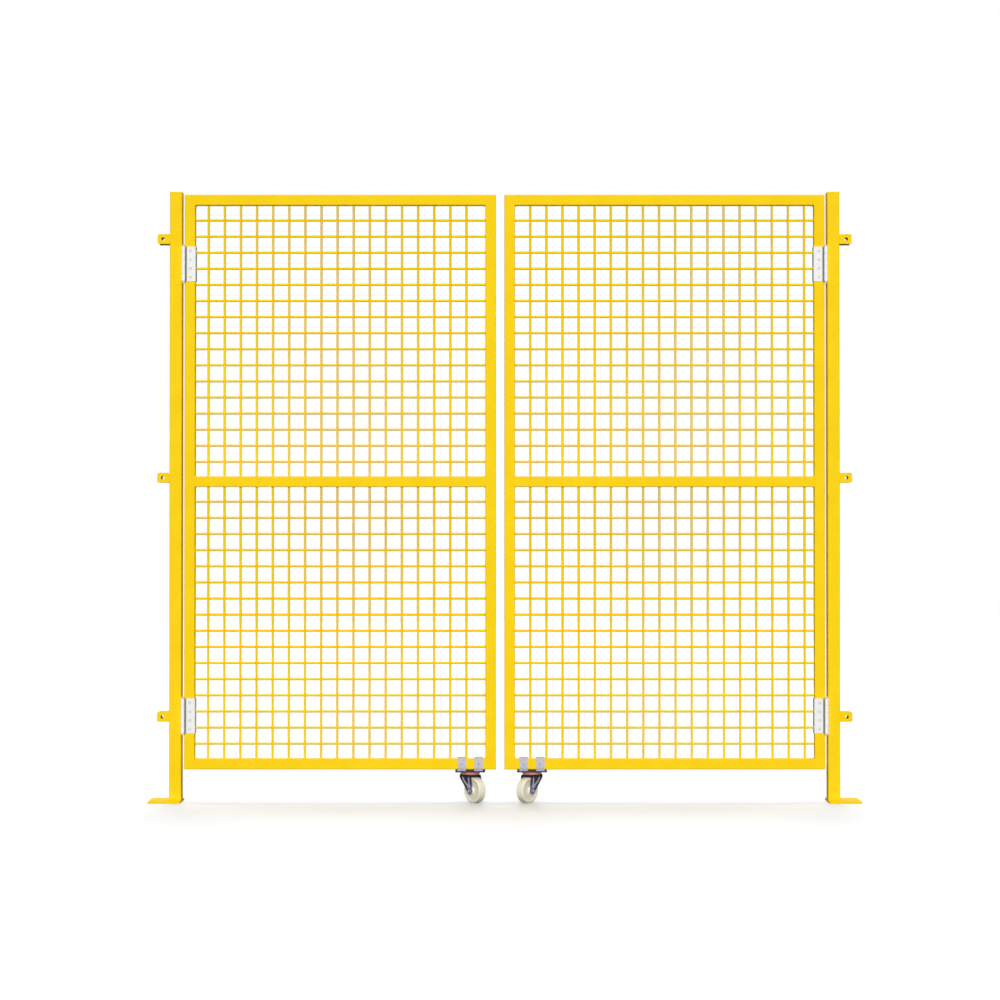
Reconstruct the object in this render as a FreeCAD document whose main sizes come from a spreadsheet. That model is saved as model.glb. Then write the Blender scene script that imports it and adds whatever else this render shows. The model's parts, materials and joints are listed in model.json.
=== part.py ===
"""Double swing mesh gate: two posts on bolted base plates, two framed mesh leaves on hinges, two casters.

The origin is on the floor at the axis of the left post. +X runs across the opening to the right post, +Y away
from the side that the leaves open to, +Z up. Sizes are millimetres.
"""
import FreeCAD, Part
import math
import os
import re

import Sketcher

# Overall
SIZES = {
    "opening_width": 2000,
    "post_top": 1891,
    "leaf_drop": 9,
    "left_leaf_width": 965,
    "hinge_gap": 8,
    "meeting_gap": 26,
}
# Posts, their base plates and the lugs that take the next fence panel
SIZES.update({
    "post_size": 38,
    "post_wall": 2,
    "post_corner": 3.5,
    "cap_thickness": 3,
    "base_size": 100,
    "base_thickness": 6,
    "base_corner": 3,
    "base_hole": 14,
    "base_hole_edge": 20,
    "lug_reach": 38,
    "lug_height": 31,
    "lug_thickness": 3,
    "lug_slot": 30,
    "lug_corner": 6,
    "lug_bend": 1,
    "lug_hole": 11,
    "lug_hole_edge": 17,
    "lowest_lug": 264,
    "top_lug_drop": 147,
})
# Leaf frames and their welded mesh
SIZES.update({
    "frame_face": 33,
    "frame_depth": 25,
    "frame_wall": 2,
    "frame_corner": 3,
    "wire_size": 6,
    "weld_depth": 1.6,
    "mesh_pitch": 50,
    "mesh_margin": 30,
    "mesh_shift": 9,
})
# Butt hinges
SIZES.update({
    "hinge_length": 108,
    "hinge_plate": 2.5,
    "hinge_corner": 3,
    "hinge_screws": 4,
    "hinge_screw_hole": 5.5,
    "knuckles": 5,
    "knuckle_gap": 0.3,
    "knuckle_relief": 1,
    "pin_diameter": 6,
    "pin_clearance": 0.05,
    "pin_head": 10,
    "pin_head_height": 6,
    "pin_head_dome": 3,
    "lower_hinge_rise": 165.5,
    "upper_hinge_drop": 216,
})
# Casters
SIZES.update({
    "left_caster_inset": 79.5,
    "right_caster_inset": 85.5,
    "caster_turn": 52,
    "caster_trail": 24,
    "plate_thickness": 4,
    "plate_gap": 2.5,
    "plate_edge": 2.5,
    "plate_end": 7,
    "plate_corner": 6,
    "bracket_width": 26,
    "bracket_thickness": 3,
    "bracket_rise": 38.5,
    "bracket_foot": 20,
    "bracket_bend": 1.5,
    "bracket_spacing": 52,
    "bracket_hole": 8.5,
    "bracket_hole_reach": 12,
    "bracket_screw_hole": 6.5,
    "race_diameter": 60,
    "race_height": 8.5,
    "race_taper": 2.5,
    "swivel_gap": 0.3,
    "kingpin": 12,
    "kingpin_clearance": 0.05,
    "kingpin_head": 16,
    "kingpin_head_height": 2.5,
    "crown_length": 54,
    "crown_thickness": 3,
    "crown_clearance": 5.2,
    "crown_bend": 2,
    "fork_wall": 3,
    "fork_skirt": 8,
    "fork_end": 11,
    "fork_clearance": 5,
    "wheel_diameter": 78,
    "wheel_width": 26,
    "wheel_rim": 8,
    "wheel_web": 20,
    "wheel_edge": 3,
    "hub_diameter": 22,
    "hub_clearance": 0.3,
    "axle": 8,
    "axle_clearance": 0.05,
    "axle_head": 14,
    "axle_head_height": 5,
})

# Measures that follow from the sizes above
HALF_POST = "(post_size / 2)"
BARREL = "(pin_diameter / 2 + pin_clearance + hinge_plate)"
LEAF_MIDDLE = "(frame_depth / 2 - post_size / 2)"
WIRE_REACH = "(wire_size / sqrt(3))"
LAYER_OFFSET = f"({WIRE_REACH} - weld_depth / 2)"
FORK_INSIDE = "(wheel_width + 2 * fork_clearance)"
FORK_OUTSIDE = f"({FORK_INSIDE} + 2 * fork_wall)"
WHEEL_RADIUS = "(wheel_diameter / 2)"
CROWN_UNDERSIDE = "(wheel_diameter + crown_clearance)"
CROWN_TOP = f"({CROWN_UNDERSIDE} + crown_thickness)"
RACE_UNDERSIDE = f"({CROWN_TOP} + swivel_gap)"
PLATE_UNDERSIDE = f"({RACE_UNDERSIDE} + race_height)"
PLATE_TOP = f"({PLATE_UNDERSIDE} + plate_thickness)"
LEAF_BOTTOM = f"({PLATE_TOP} + plate_gap)"
LEAF_HEIGHT = f"(post_top - leaf_drop - {LEAF_BOTTOM})"
PANEL_HEIGHT = f"(({LEAF_HEIGHT} - 3 * frame_face) / 2)"
LUGS_PER_POST = 3
SIDES = (("left", 1), ("right", -1))
FULL_TURN = 360
TOUCHING = 1e-6

doc = FreeCAD.newDocument("mesh_gate")
sheet = doc.addObject("Spreadsheet::Sheet", "Sizes")
for row, (alias, value) in enumerate(SIZES.items(), start=1):
    sheet.set(f"A{row}", alias)
    sheet.set(f"B{row}", str(value))
    sheet.setAlias(f"B{row}", alias)
doc.recompute()
nodes = []


def bind(owner, name, expression):
    """Tie a property to an expression whose words are sizes in the sheet."""

    def in_sheet(match):
        word = match[0]
        return f"Sizes.{word}" if word in SIZES else word

    owner.setExpression(name, re.sub(r"[a-z_]+", in_sheet, str(expression)))


def place(thing, x="0", y="0", z="0", axis=(0, 0, 1), turn="0"):
    """Put a sub-part at a point, turned about one axis."""
    thing.Placement = FreeCAD.Placement(FreeCAD.Vector(), FreeCAD.Rotation(FreeCAD.Vector(*axis), 1))
    bind(thing, "Placement.Base.x", x)
    bind(thing, "Placement.Base.y", y)
    bind(thing, "Placement.Base.z", z)
    bind(thing, "Placement.Rotation.Angle", turn)


def new_body(label):
    body = doc.addObject("PartDesign::Body", label)
    body.Label = label
    return body


def origin_feature(body, role):
    return next(feature for feature in body.Origin.OriginFeatures if feature.Role == role)


def new_sketch(body, role):
    sketch = body.newObject("Sketcher::SketchObject", "Sketch")
    sketch.AttachmentSupport = (origin_feature(body, role), [""])
    sketch.MapMode = "FlatFace"
    return sketch


def pin_point(sketch, edge, vertex, start, x, y):
    """Hold one point of a sketch at two expressions, measured from the sketch's origin."""
    for kind, first, expression in (("DistanceX", start.x, x), ("DistanceY", start.y, y)):
        index = sketch.addConstraint(Sketcher.Constraint(kind, -1, 1, edge, vertex, first))
        bind(sketch, f"Constraints[{index}]", expression)


def outline(sketch, corners):
    """Closed outline of straight edges, one corner for each pair of expressions."""
    first = sketch.GeometryCount
    count = len(corners)
    middle = FreeCAD.Vector(2, 2, 0)
    step = 2 * math.pi / count
    starts = []
    for i in range(count):
        starts.append(middle + FreeCAD.Vector(math.cos(i * step), math.sin(i * step), 0))
    for i in range(count):
        sketch.addGeometry(Part.LineSegment(starts[i], starts[(i + 1) % count]))
    for i in range(count):
        sketch.addConstraint(Sketcher.Constraint("Coincident", first + i, 2, first + (i + 1) % count, 1))
    for i, (x, y) in enumerate(corners):
        pin_point(sketch, first + i, 1, starts[i], x, y)


def rectangle(sketch, x_low, x_high, y_low, y_high):
    outline(sketch, [(x_low, y_low), (x_high, y_low), (x_high, y_high), (x_low, y_high)])


def circle(sketch, x, y, diameter):
    start = FreeCAD.Vector(1, 1, 0)
    edge = sketch.addGeometry(Part.Circle(start, FreeCAD.Vector(0, 0, 1), 1))
    pin_point(sketch, edge, 3, start, x, y)
    index = sketch.addConstraint(Sketcher.Constraint("Diameter", edge, 2))
    bind(sketch, f"Constraints[{index}]", diameter)


def hexagon(sketch, x, y, reach, first_turn):
    """Hexagon whose first corner is turned this many degrees from the sketch's first axis."""
    turns = [first_turn + 60 * i for i in range(6)]
    corners = []
    for turn in turns:
        corners.append((f"{x} + {reach} * cos({turn})", f"{y} + {reach} * sin({turn})"))
    outline(sketch, corners)


def pad(body, sketch, length, both_ways=False):
    feature = body.newObject("PartDesign::Pad", "Pad")
    feature.Profile = sketch
    feature.SideType = "Symmetric" if both_ways else "One side"
    feature.Refine = False
    bind(feature, "Length", length)
    return feature


def pocket(body, sketch, length=None):
    """Cut to both sides of the sketch, right through or for a stated width."""
    feature = body.newObject("PartDesign::Pocket", "Pocket")
    feature.Profile = sketch
    feature.SideType = "Symmetric"
    if length is None:
        feature.Type = "ThroughAll"
    else:
        bind(feature, "Length", length)
    return feature


def revolve(body, sketch):
    feature = body.newObject("PartDesign::Revolution", "Revolution")
    feature.Profile = sketch
    feature.ReferenceAxis = (sketch, ["V_Axis"])
    feature.Angle = FULL_TURN
    return feature


def repeat(body, features, role, spacing, count):
    """Copies of features along one of the body's own axes."""
    pattern = body.newObject("PartDesign::LinearPattern", "Pattern")
    pattern.Originals = features
    pattern.Direction = (origin_feature(body, role), [""])
    pattern.Refine = False
    bind(pattern, "Length", f"({spacing}) * (({count}) - 1)")
    bind(pattern, "Occurrences", count)
    body.Tip = pattern
    return pattern


def round_edges(body, base, radius, wanted):
    """Fillet the edges of a feature that pass the given test."""
    doc.recompute()
    names = [f"Edge{i}" for i, edge in enumerate(base.Shape.Edges, start=1) if wanted(edge)]
    feature = body.newObject("PartDesign::Fillet", "Fillet")
    feature.Base = (base, names)
    bind(feature, "Radius", radius)
    return feature


def runs_along(edge, axis):
    """True for a straight edge parallel to one of the axes x, y or z."""
    ends = edge.Vertexes
    if edge.Curve.TypeId != "Part::GeomLine" or len(ends) < 2:
        return False
    span = ends[1].Point - ends[0].Point
    return abs(abs(getattr(span, axis)) - span.Length) < TOUCHING


def group(label, members):
    """One node that holds several separate solids of one kind."""
    compound = doc.addObject("Part::Compound", label)
    compound.Label = label
    compound.Links = members
    nodes.append(compound)


def from_post(hand, distance):
    """X of a point that lies this far into the opening from the inner face of its post."""
    if hand > 0:
        return f"{HALF_POST} + ({distance})"
    return f"{HALF_POST} + opening_width - ({distance})"


def post_axis(hand):
    return from_post(hand, f"-{HALF_POST}")


def leaf_width(side):
    if side == "left":
        return "left_leaf_width"
    return "(opening_width - 2 * hinge_gap - meeting_gap - left_leaf_width)"


def tube(label, width, depth, wall, corner, length):
    """Square tube with rounded edges, standing on its own XY plane."""
    body = new_body(label)
    sketch = new_sketch(body, "XY_Plane")
    rectangle(sketch, f"-{width} / 2", f"{width} / 2", f"-{depth} / 2", f"{depth} / 2")
    rectangle(
        sketch,
        f"{wall} - {width} / 2",
        f"{width} / 2 - {wall}",
        f"{wall} - {depth} / 2",
        f"{depth} / 2 - {wall}",
    )
    walls = pad(body, sketch, length)
    doc.recompute()
    outside = walls.Shape.BoundBox.XMax

    def is_outer_corner(edge):
        return runs_along(edge, "z") and abs(abs(edge.Vertexes[0].Point.x) - outside) < TOUCHING

    round_edges(body, walls, corner, is_outer_corner)
    return body


def post(label, hand):
    """Upright tube between its base plate and its cap."""
    body = tube(
        label,
        "post_size",
        "post_size",
        "post_wall",
        "post_corner",
        "post_top - base_thickness - cap_thickness",
    )
    place(body, x=post_axis(hand), z="base_thickness")
    nodes.append(body)


def post_cap(label, hand):
    body = new_body(label)
    sketch = new_sketch(body, "XY_Plane")
    rectangle(sketch, f"-{HALF_POST}", HALF_POST, f"-{HALF_POST}", HALF_POST)
    plate = pad(body, sketch, "cap_thickness")
    round_edges(body, plate, "post_corner", lambda edge: runs_along(edge, "z"))
    place(body, x=post_axis(hand), z="post_top - cap_thickness")
    nodes.append(body)


def base_plate(label, hand):
    """Floor plate, flush with the inner face of its post, with two anchor holes on the outer side."""
    body = new_body(label)
    sketch = new_sketch(body, "XY_Plane")
    inner_edge = f"{hand} * {HALF_POST}"
    outer_edge = f"{hand} * ({HALF_POST} - base_size)"
    rectangle(sketch, outer_edge, inner_edge, "-base_size / 2", "base_size / 2")
    plate = pad(body, sketch, "base_thickness")
    round_edges(body, plate, "base_corner", lambda edge: runs_along(edge, "z"))
    holes = new_sketch(body, "XY_Plane")
    for end in (-1, 1):
        hole_x = f"{hand} * ({HALF_POST} - base_size + base_hole_edge)"
        circle(holes, hole_x, f"{end} * (base_size / 2 - base_hole_edge)", "base_hole")
    pocket(body, holes)
    place(body, x=post_axis(hand))
    nodes.append(body)


def panel_lug(label, hand, index):
    """U of bent strip welded to the outer face of a post, with a bolt hole through both ears."""
    body = new_body(label)
    sketch = new_sketch(body, "XY_Plane")
    tip = f"{-hand} * lug_reach"
    web = f"{-hand} * lug_thickness"
    outer = "(lug_slot / 2 + lug_thickness)"
    outline(sketch, [
        ("0", f"-{outer}"),
        (tip, f"-{outer}"),
        (tip, "-lug_slot / 2"),
        (web, "-lug_slot / 2"),
        (web, "lug_slot / 2"),
        (tip, "lug_slot / 2"),
        (tip, outer),
        ("0", outer),
    ])
    strip = pad(body, sketch, "lug_height", both_ways=True)
    doc.recompute()
    far = max(abs(strip.Shape.BoundBox.XMin), abs(strip.Shape.BoundBox.XMax))

    def at_tip(edge):
        return runs_along(edge, "y") and abs(abs(edge.Vertexes[0].Point.x) - far) < TOUCHING

    def outside_bend(edge):
        return runs_along(edge, "z") and abs(edge.Vertexes[0].Point.x) < TOUCHING

    def inside_bend(edge):
        depth = abs(edge.Vertexes[0].Point.x)
        return runs_along(edge, "z") and abs(depth - SIZES["lug_thickness"]) < TOUCHING

    tips = round_edges(body, strip, "lug_corner", at_tip)
    outside = round_edges(body, tips, "lug_bend + lug_thickness", outside_bend)
    round_edges(body, outside, "lug_bend", inside_bend)
    hole = new_sketch(body, "XZ_Plane")
    circle(hole, f"{-hand} * (lug_reach - lug_hole_edge)", "0", "lug_hole")
    pocket(body, hole)
    step = f"(post_top - top_lug_drop - lowest_lug) / {LUGS_PER_POST - 1}"
    place(body, x=from_post(hand, "-post_size"), z=f"lowest_lug + {index} * {step}")
    return body


def frame_tube(label, length, inner_side=0):
    """Leaf frame tube. Its ends are mitred towards inner_side, or square where that is 0."""
    body = tube(
        label,
        "frame_face",
        "frame_depth",
        "frame_wall",
        "frame_corner",
        length,
    )
    if inner_side:
        sketch = new_sketch(body, "XZ_Plane")
        outside = f"{-inner_side} * frame_face / 2"
        inside = f"{inner_side} * frame_face / 2"
        outline(sketch, [(outside, "0"), (inside, "0"), (inside, "frame_face")])
        outline(sketch, [(outside, length), (inside, length), (inside, f"{length} - frame_face")])
        pocket(body, sketch)
    nodes.append(body)
    return body


def leaf_frame(side, hand):
    """Two stiles and three rails, mitred at the corners."""
    width = leaf_width(side)
    hinge_stile = frame_tube(f"{side}_hinge_stile", LEAF_HEIGHT, hand)
    place(hinge_stile, from_post(hand, "hinge_gap + frame_face / 2"), LEAF_MIDDLE, LEAF_BOTTOM)
    meeting_stile = frame_tube(f"{side}_meeting_stile", LEAF_HEIGHT, -hand)
    place(meeting_stile, from_post(hand, f"hinge_gap + {width} - frame_face / 2"), LEAF_MIDDLE, LEAF_BOTTOM)
    left_end = "hinge_gap" if hand > 0 else f"hinge_gap + {width}"
    rails = (
        ("top_rail", 1, width, "0", f"{LEAF_BOTTOM} + {LEAF_HEIGHT} - frame_face / 2"),
        ("mid_rail", 0, f"({width} - 2 * frame_face)", "frame_face", f"{LEAF_BOTTOM} + {LEAF_HEIGHT} / 2"),
        ("bottom_rail", -1, width, "0", f"{LEAF_BOTTOM} + frame_face / 2"),
    )
    for name, inner_side, length, inset, height in rails:
        rail = frame_tube(f"{side}_{name}", length, inner_side)
        start = f"{from_post(hand, left_end)} + {inset}"
        place(rail, start, LEAF_MIDDLE, height, axis=(0, 1, 0), turn="90")


def wires_across(span):
    """How many wires fit across a panel at the mesh pitch, with at least the margin left at each end."""
    return f"(floor(({span} - 2 * mesh_margin) / mesh_pitch) + 1)"


def mesh_panel(label, side, hand, height):
    """Welded mesh: a layer of upright wires in front of a layer of level ones, fused where they cross."""
    width = f"({leaf_width(side)} - 2 * frame_face)"
    columns = wires_across(width)
    rows = wires_across(PANEL_HEIGHT)
    body = new_body(label)
    upright = new_sketch(body, "XY_Plane")
    first_column = f"({width} - mesh_pitch * ({columns} - 1)) / 2 - {hand} * mesh_shift"
    hexagon(upright, first_column, f"-{LAYER_OFFSET}", WIRE_REACH, 30)
    upright_wire = pad(body, upright, PANEL_HEIGHT)
    repeat(body, [upright_wire], "X_Axis", "mesh_pitch", columns)
    level = new_sketch(body, "YZ_Plane")
    first_row = f"({PANEL_HEIGHT} - mesh_pitch * ({rows} - 1)) / 2"
    hexagon(level, LAYER_OFFSET, first_row, WIRE_REACH, 0)
    level_wire = pad(body, level, width)
    repeat(body, [level_wire], "Z_Axis", "mesh_pitch", rows)
    left_end = "hinge_gap + frame_face" if hand > 0 else f"hinge_gap + {leaf_width(side)} - frame_face"
    place(body, from_post(hand, left_end), LEAF_MIDDLE, height)
    nodes.append(body)


def hinge_leaf(label, hand, length, first_knuckle, count):
    """Hinge plate rolled into knuckles round the pin. It lies along X, on the +Y side of the barrel."""
    body = new_body(label)
    pitch = "(hinge_length / knuckles)"
    knuckle = f"({pitch} - knuckle_gap)"
    relief = f"({BARREL} + knuckle_relief)"
    plate_bottom = f"(-{pitch} * {first_knuckle} - knuckle_gap / 2)"
    rolled = new_sketch(body, "XY_Plane")
    circle(rolled, "0", "0", f"2 * {BARREL}")
    barrel = pad(body, rolled, knuckle)
    neck = new_sketch(body, "XY_Plane")
    rectangle(neck, "0", f"{hand} * {relief}", f"{BARREL} - hinge_plate", BARREL)
    tongue = pad(body, neck, knuckle)
    repeat(body, [barrel, tongue], "Z_Axis", f"2 * {pitch}", count)
    flat = new_sketch(body, "XY_Plane")
    rectangle(flat, f"{hand} * {relief}", f"{hand} * ({length})", f"{BARREL} - hinge_plate", BARREL)
    bind(flat, "AttachmentOffset.Base.z", plate_bottom)
    plate = pad(body, flat, "hinge_length")
    doc.recompute()
    far = max(abs(plate.Shape.BoundBox.XMin), abs(plate.Shape.BoundBox.XMax))

    def at_far_edge(edge):
        return runs_along(edge, "y") and abs(abs(edge.Vertexes[0].Point.x) - far) < TOUCHING

    round_edges(body, plate, "hinge_corner", at_far_edge)
    bore = new_sketch(body, "XY_Plane")
    circle(bore, "0", "0", "pin_diameter + 2 * pin_clearance")
    pocket(body, bore)
    hole = new_sketch(body, "XZ_Plane")
    screw_pitch = "(hinge_length / hinge_screws)"
    hole_x = f"{hand} * ({relief} + {length}) / 2"
    circle(hole, hole_x, f"{plate_bottom} + {screw_pitch} / 2", "hinge_screw_hole")
    lowest_hole = pocket(body, hole)
    repeat(body, [lowest_hole], "Z_Axis", screw_pitch, "hinge_screws")
    return body


def hinge_pin(label):
    """Pin with a head at each end, standing on the lowest knuckle."""
    body = new_body(label)
    sketch = new_sketch(body, "XZ_Plane")
    outline(sketch, [
        ("0", "-pin_head_height"),
        ("pin_head / 2", "-pin_head_height"),
        ("pin_head / 2", "0"),
        ("pin_diameter / 2", "0"),
        ("pin_diameter / 2", "hinge_length"),
        ("pin_head / 2", "hinge_length"),
        ("pin_head / 2", "hinge_length + pin_head_height"),
        ("0", "hinge_length + pin_head_height"),
    ])
    turned = revolve(body, sketch)
    doc.recompute()
    ends = (turned.Shape.BoundBox.ZMin, turned.Shape.BoundBox.ZMax)

    def is_tip(edge):
        low, high = edge.BoundBox.ZMin, edge.BoundBox.ZMax
        return min(abs(low - end) + abs(high - end) for end in ends) < TOUCHING

    round_edges(body, turned, "pin_head_dome", is_tip)
    return body


def hinges(side, hand):
    """Two butt hinges: one plate on the front of the stile, the other on the inner face of the post."""
    axis_x = from_post(hand, BARREL)
    axis_y = f"-{HALF_POST} - {BARREL}"
    heights = {
        "lower": f"{LEAF_BOTTOM} + lower_hinge_rise - hinge_length / 2",
        "upper": f"{LEAF_BOTTOM} + {LEAF_HEIGHT} - upper_hinge_drop - hinge_length / 2",
    }
    gate_leaves, post_leaves, pins = [], [], []
    for level, height in heights.items():
        gate_reach = f"(hinge_gap + frame_face - {BARREL})"
        gate_leaf = hinge_leaf(f"{side}_{level}_gate_leaf", hand, gate_reach, 1, "floor(knuckles / 2)")
        place(gate_leaf, axis_x, axis_y, f"{height} + hinge_length / knuckles + knuckle_gap / 2")
        gate_leaves.append(gate_leaf)
        post_reach = f"({BARREL} + post_size - post_corner)"
        post_leaf = hinge_leaf(f"{side}_{level}_post_leaf", hand, post_reach, 0, "ceil(knuckles / 2)")
        place(post_leaf, axis_x, axis_y, f"{height} + knuckle_gap / 2", turn=f"{hand} * 90")
        post_leaves.append(post_leaf)
        pin = hinge_pin(f"{side}_{level}_pin")
        place(pin, axis_x, axis_y, height)
        pins.append(pin)
    group(f"{side}_hinge_gate_plates", gate_leaves)
    group(f"{side}_hinge_post_plates", post_leaves)
    group(f"{side}_hinge_pins", pins)


def caster_bracket(label, facing):
    """L of galvanised strip: the upright lies on a face of the bottom rail, the foot on the caster plate."""
    body = new_body(label)
    sketch = new_sketch(body, "YZ_Plane")
    face = f"{facing} * bracket_thickness"
    toe = f"{facing} * bracket_foot"
    outline(sketch, [
        ("0", "0"),
        (toe, "0"),
        (toe, "bracket_thickness"),
        (face, "bracket_thickness"),
        (face, "bracket_rise"),
        ("0", "bracket_rise"),
    ])
    strip = pad(body, sketch, "bracket_width", both_ways=True)

    def bend_edge(depth):
        def at_bend(edge):
            point = edge.Vertexes[0].Point
            miss = abs(abs(point.y) - depth) + abs(point.z - depth)
            return runs_along(edge, "x") and miss < TOUCHING

        return at_bend

    outside = round_edges(body, strip, "bracket_bend + bracket_thickness", bend_edge(0))
    round_edges(body, outside, "bracket_bend", bend_edge(SIZES["bracket_thickness"]))
    hole = new_sketch(body, "XY_Plane")
    circle(hole, "0", f"{facing} * bracket_hole_reach", "bracket_hole")
    pocket(body, hole)
    screw_hole = new_sketch(body, "XZ_Plane")
    circle(screw_hole, "0", "plate_gap + frame_face / 2", "bracket_screw_hole")
    pocket(body, screw_hole)
    return body


def caster_mount(side, hand, axis_x):
    """Plate hung under the bottom rail by four brackets, the swivel's upper race and the kingpin."""
    brackets = []
    for facing, face in ((-1, "front"), (1, "back")):
        for end, at in ((-1, "inner"), (1, "outer")):
            bracket = caster_bracket(f"{side}_{face}_{at}_bracket", facing)
            bracket_x = f"{axis_x} + {-hand * end} * bracket_spacing / 2"
            place(bracket, bracket_x, f"{LEAF_MIDDLE} + {facing} * frame_depth / 2", PLATE_TOP)
            brackets.append(bracket)
    group(f"{side}_caster_brackets", brackets)

    plate = new_body(f"{side}_caster_plate")
    sketch = new_sketch(plate, "XY_Plane")
    half_length = "((bracket_spacing + bracket_width) / 2 + plate_end)"
    half_depth = "(frame_depth / 2 + bracket_foot + plate_edge)"
    rectangle(sketch, f"-{half_length}", half_length, f"-{half_depth}", half_depth)
    blank = pad(plate, sketch, "plate_thickness")
    round_edges(plate, blank, "plate_corner", lambda edge: runs_along(edge, "z"))
    holes = new_sketch(plate, "XY_Plane")
    circle(holes, "0", "0", "kingpin + 2 * kingpin_clearance")
    for x_sign in (-1, 1):
        for y_sign in (-1, 1):
            hole_y = f"{y_sign} * (frame_depth / 2 + bracket_hole_reach)"
            circle(holes, f"{x_sign} * bracket_spacing / 2", hole_y, "bracket_hole")
    pocket(plate, holes)
    place(plate, axis_x, LEAF_MIDDLE, PLATE_UNDERSIDE)
    nodes.append(plate)

    race = new_body(f"{side}_swivel_race")
    sketch = new_sketch(race, "XZ_Plane")
    outline(sketch, [
        ("kingpin / 2 + kingpin_clearance", RACE_UNDERSIDE),
        ("race_diameter / 2 - race_taper", RACE_UNDERSIDE),
        ("race_diameter / 2", f"{RACE_UNDERSIDE} + race_taper"),
        ("race_diameter / 2", PLATE_UNDERSIDE),
        ("kingpin / 2 + kingpin_clearance", PLATE_UNDERSIDE),
    ])
    revolve(race, sketch)
    place(race, axis_x, LEAF_MIDDLE)
    nodes.append(race)

    kingpin = new_body(f"{side}_kingpin")
    sketch = new_sketch(kingpin, "XZ_Plane")
    head_top = f"({CROWN_UNDERSIDE} - swivel_gap)"
    outline(sketch, [
        ("0", f"{head_top} - kingpin_head_height"),
        ("kingpin_head / 2", f"{head_top} - kingpin_head_height"),
        ("kingpin_head / 2", head_top),
        ("kingpin / 2", head_top),
        ("kingpin / 2", PLATE_TOP),
        ("0", PLATE_TOP),
    ])
    revolve(kingpin, sketch)
    place(kingpin, axis_x, LEAF_MIDDLE)
    nodes.append(kingpin)


def fork_outline(sketch):
    """Side view of a fork: a flat top, and two edges that run tangent to the rounded end at the axle."""
    half_crown = SIZES["crown_length"] / 2
    top = SIZES["wheel_diameter"]
    axle = FreeCAD.Vector(SIZES["caster_trail"], top / 2, 0)
    end = Part.Circle(axle, FreeCAD.Vector(0, 0, 1), SIZES["fork_end"])
    back_turn, front_turn = math.radians(225), math.radians(375)
    back, front = end.value(back_turn), end.value(front_turn)
    top_back, top_front = FreeCAD.Vector(-half_crown, top, 0), FreeCAD.Vector(half_crown, top, 0)
    skirt = FreeCAD.Vector(-half_crown, top / 2 + axle.y / 2, 0)
    top_edge = sketch.addGeometry(Part.LineSegment(top_back, top_front))
    front_edge = sketch.addGeometry(Part.LineSegment(top_front, front))
    round_end = sketch.addGeometry(Part.ArcOfCircle(end, back_turn, front_turn))
    back_edge = sketch.addGeometry(Part.LineSegment(back, skirt))
    skirt_edge = sketch.addGeometry(Part.LineSegment(skirt, top_back))
    sketch.addConstraint(Sketcher.Constraint("Coincident", top_edge, 2, front_edge, 1))
    sketch.addConstraint(Sketcher.Constraint("Tangent", front_edge, 2, round_end, 2))
    sketch.addConstraint(Sketcher.Constraint("Tangent", round_end, 1, back_edge, 1))
    sketch.addConstraint(Sketcher.Constraint("Coincident", back_edge, 2, skirt_edge, 1))
    sketch.addConstraint(Sketcher.Constraint("Coincident", skirt_edge, 2, top_edge, 1))
    radius = sketch.addConstraint(Sketcher.Constraint("Radius", round_end, SIZES["fork_end"]))
    bind(sketch, f"Constraints[{radius}]", "fork_end")
    pin_point(sketch, round_end, 3, axle, "caster_trail", WHEEL_RADIUS)
    pin_point(sketch, top_edge, 1, top_back, "-crown_length / 2", CROWN_TOP)
    pin_point(sketch, top_edge, 2, top_front, "crown_length / 2", CROWN_TOP)
    pin_point(sketch, skirt_edge, 1, skirt, "-crown_length / 2", f"{CROWN_UNDERSIDE} - fork_skirt")


def caster_fork(label, axis_x, turn):
    """Pressed fork that trails behind the kingpin: a flat crown and two legs that narrow to the axle."""
    body = new_body(label)
    side_view = new_sketch(body, "XZ_Plane")
    fork_outline(side_view)
    block = pad(body, side_view, FORK_OUTSIDE, both_ways=True)
    doc.recompute()
    top = block.Shape.BoundBox.ZMax

    def is_bend(edge):
        return runs_along(edge, "x") and abs(edge.Vertexes[0].Point.z - top) < TOUCHING

    round_edges(body, block, "crown_bend + fork_wall", is_bend)
    channel = new_sketch(body, "XZ_Plane")
    rectangle(channel, "-crown_length", "caster_trail + crown_length", "0", CROWN_UNDERSIDE)
    pocket(body, channel, FORK_INSIDE)
    axle_hole = new_sketch(body, "XZ_Plane")
    circle(axle_hole, "caster_trail", WHEEL_RADIUS, "axle + 2 * axle_clearance")
    pocket(body, axle_hole)
    kingpin_hole = new_sketch(body, "XY_Plane")
    circle(kingpin_hole, "0", "0", "kingpin + 2 * kingpin_clearance")
    pocket(body, kingpin_hole)
    place(body, axis_x, LEAF_MIDDLE, turn=turn)
    nodes.append(body)


def caster_axle(label, wheel_place):
    """Axle with a round head outside each leg of the fork."""
    body = new_body(label)
    sketch = new_sketch(body, "XY_Plane")
    leg = f"({FORK_OUTSIDE} / 2)"
    end = f"({leg} + axle_head_height)"
    outline(sketch, [
        ("0", f"-{end}"),
        ("axle_head / 2", f"-{end}"),
        ("axle_head / 2", f"-{leg}"),
        ("axle / 2", f"-{leg}"),
        ("axle / 2", leg),
        ("axle_head / 2", leg),
        ("axle_head / 2", end),
        ("0", end),
    ])
    revolve(body, sketch)
    place(body, *wheel_place[:3], turn=wheel_place[3])
    nodes.append(body)


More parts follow.
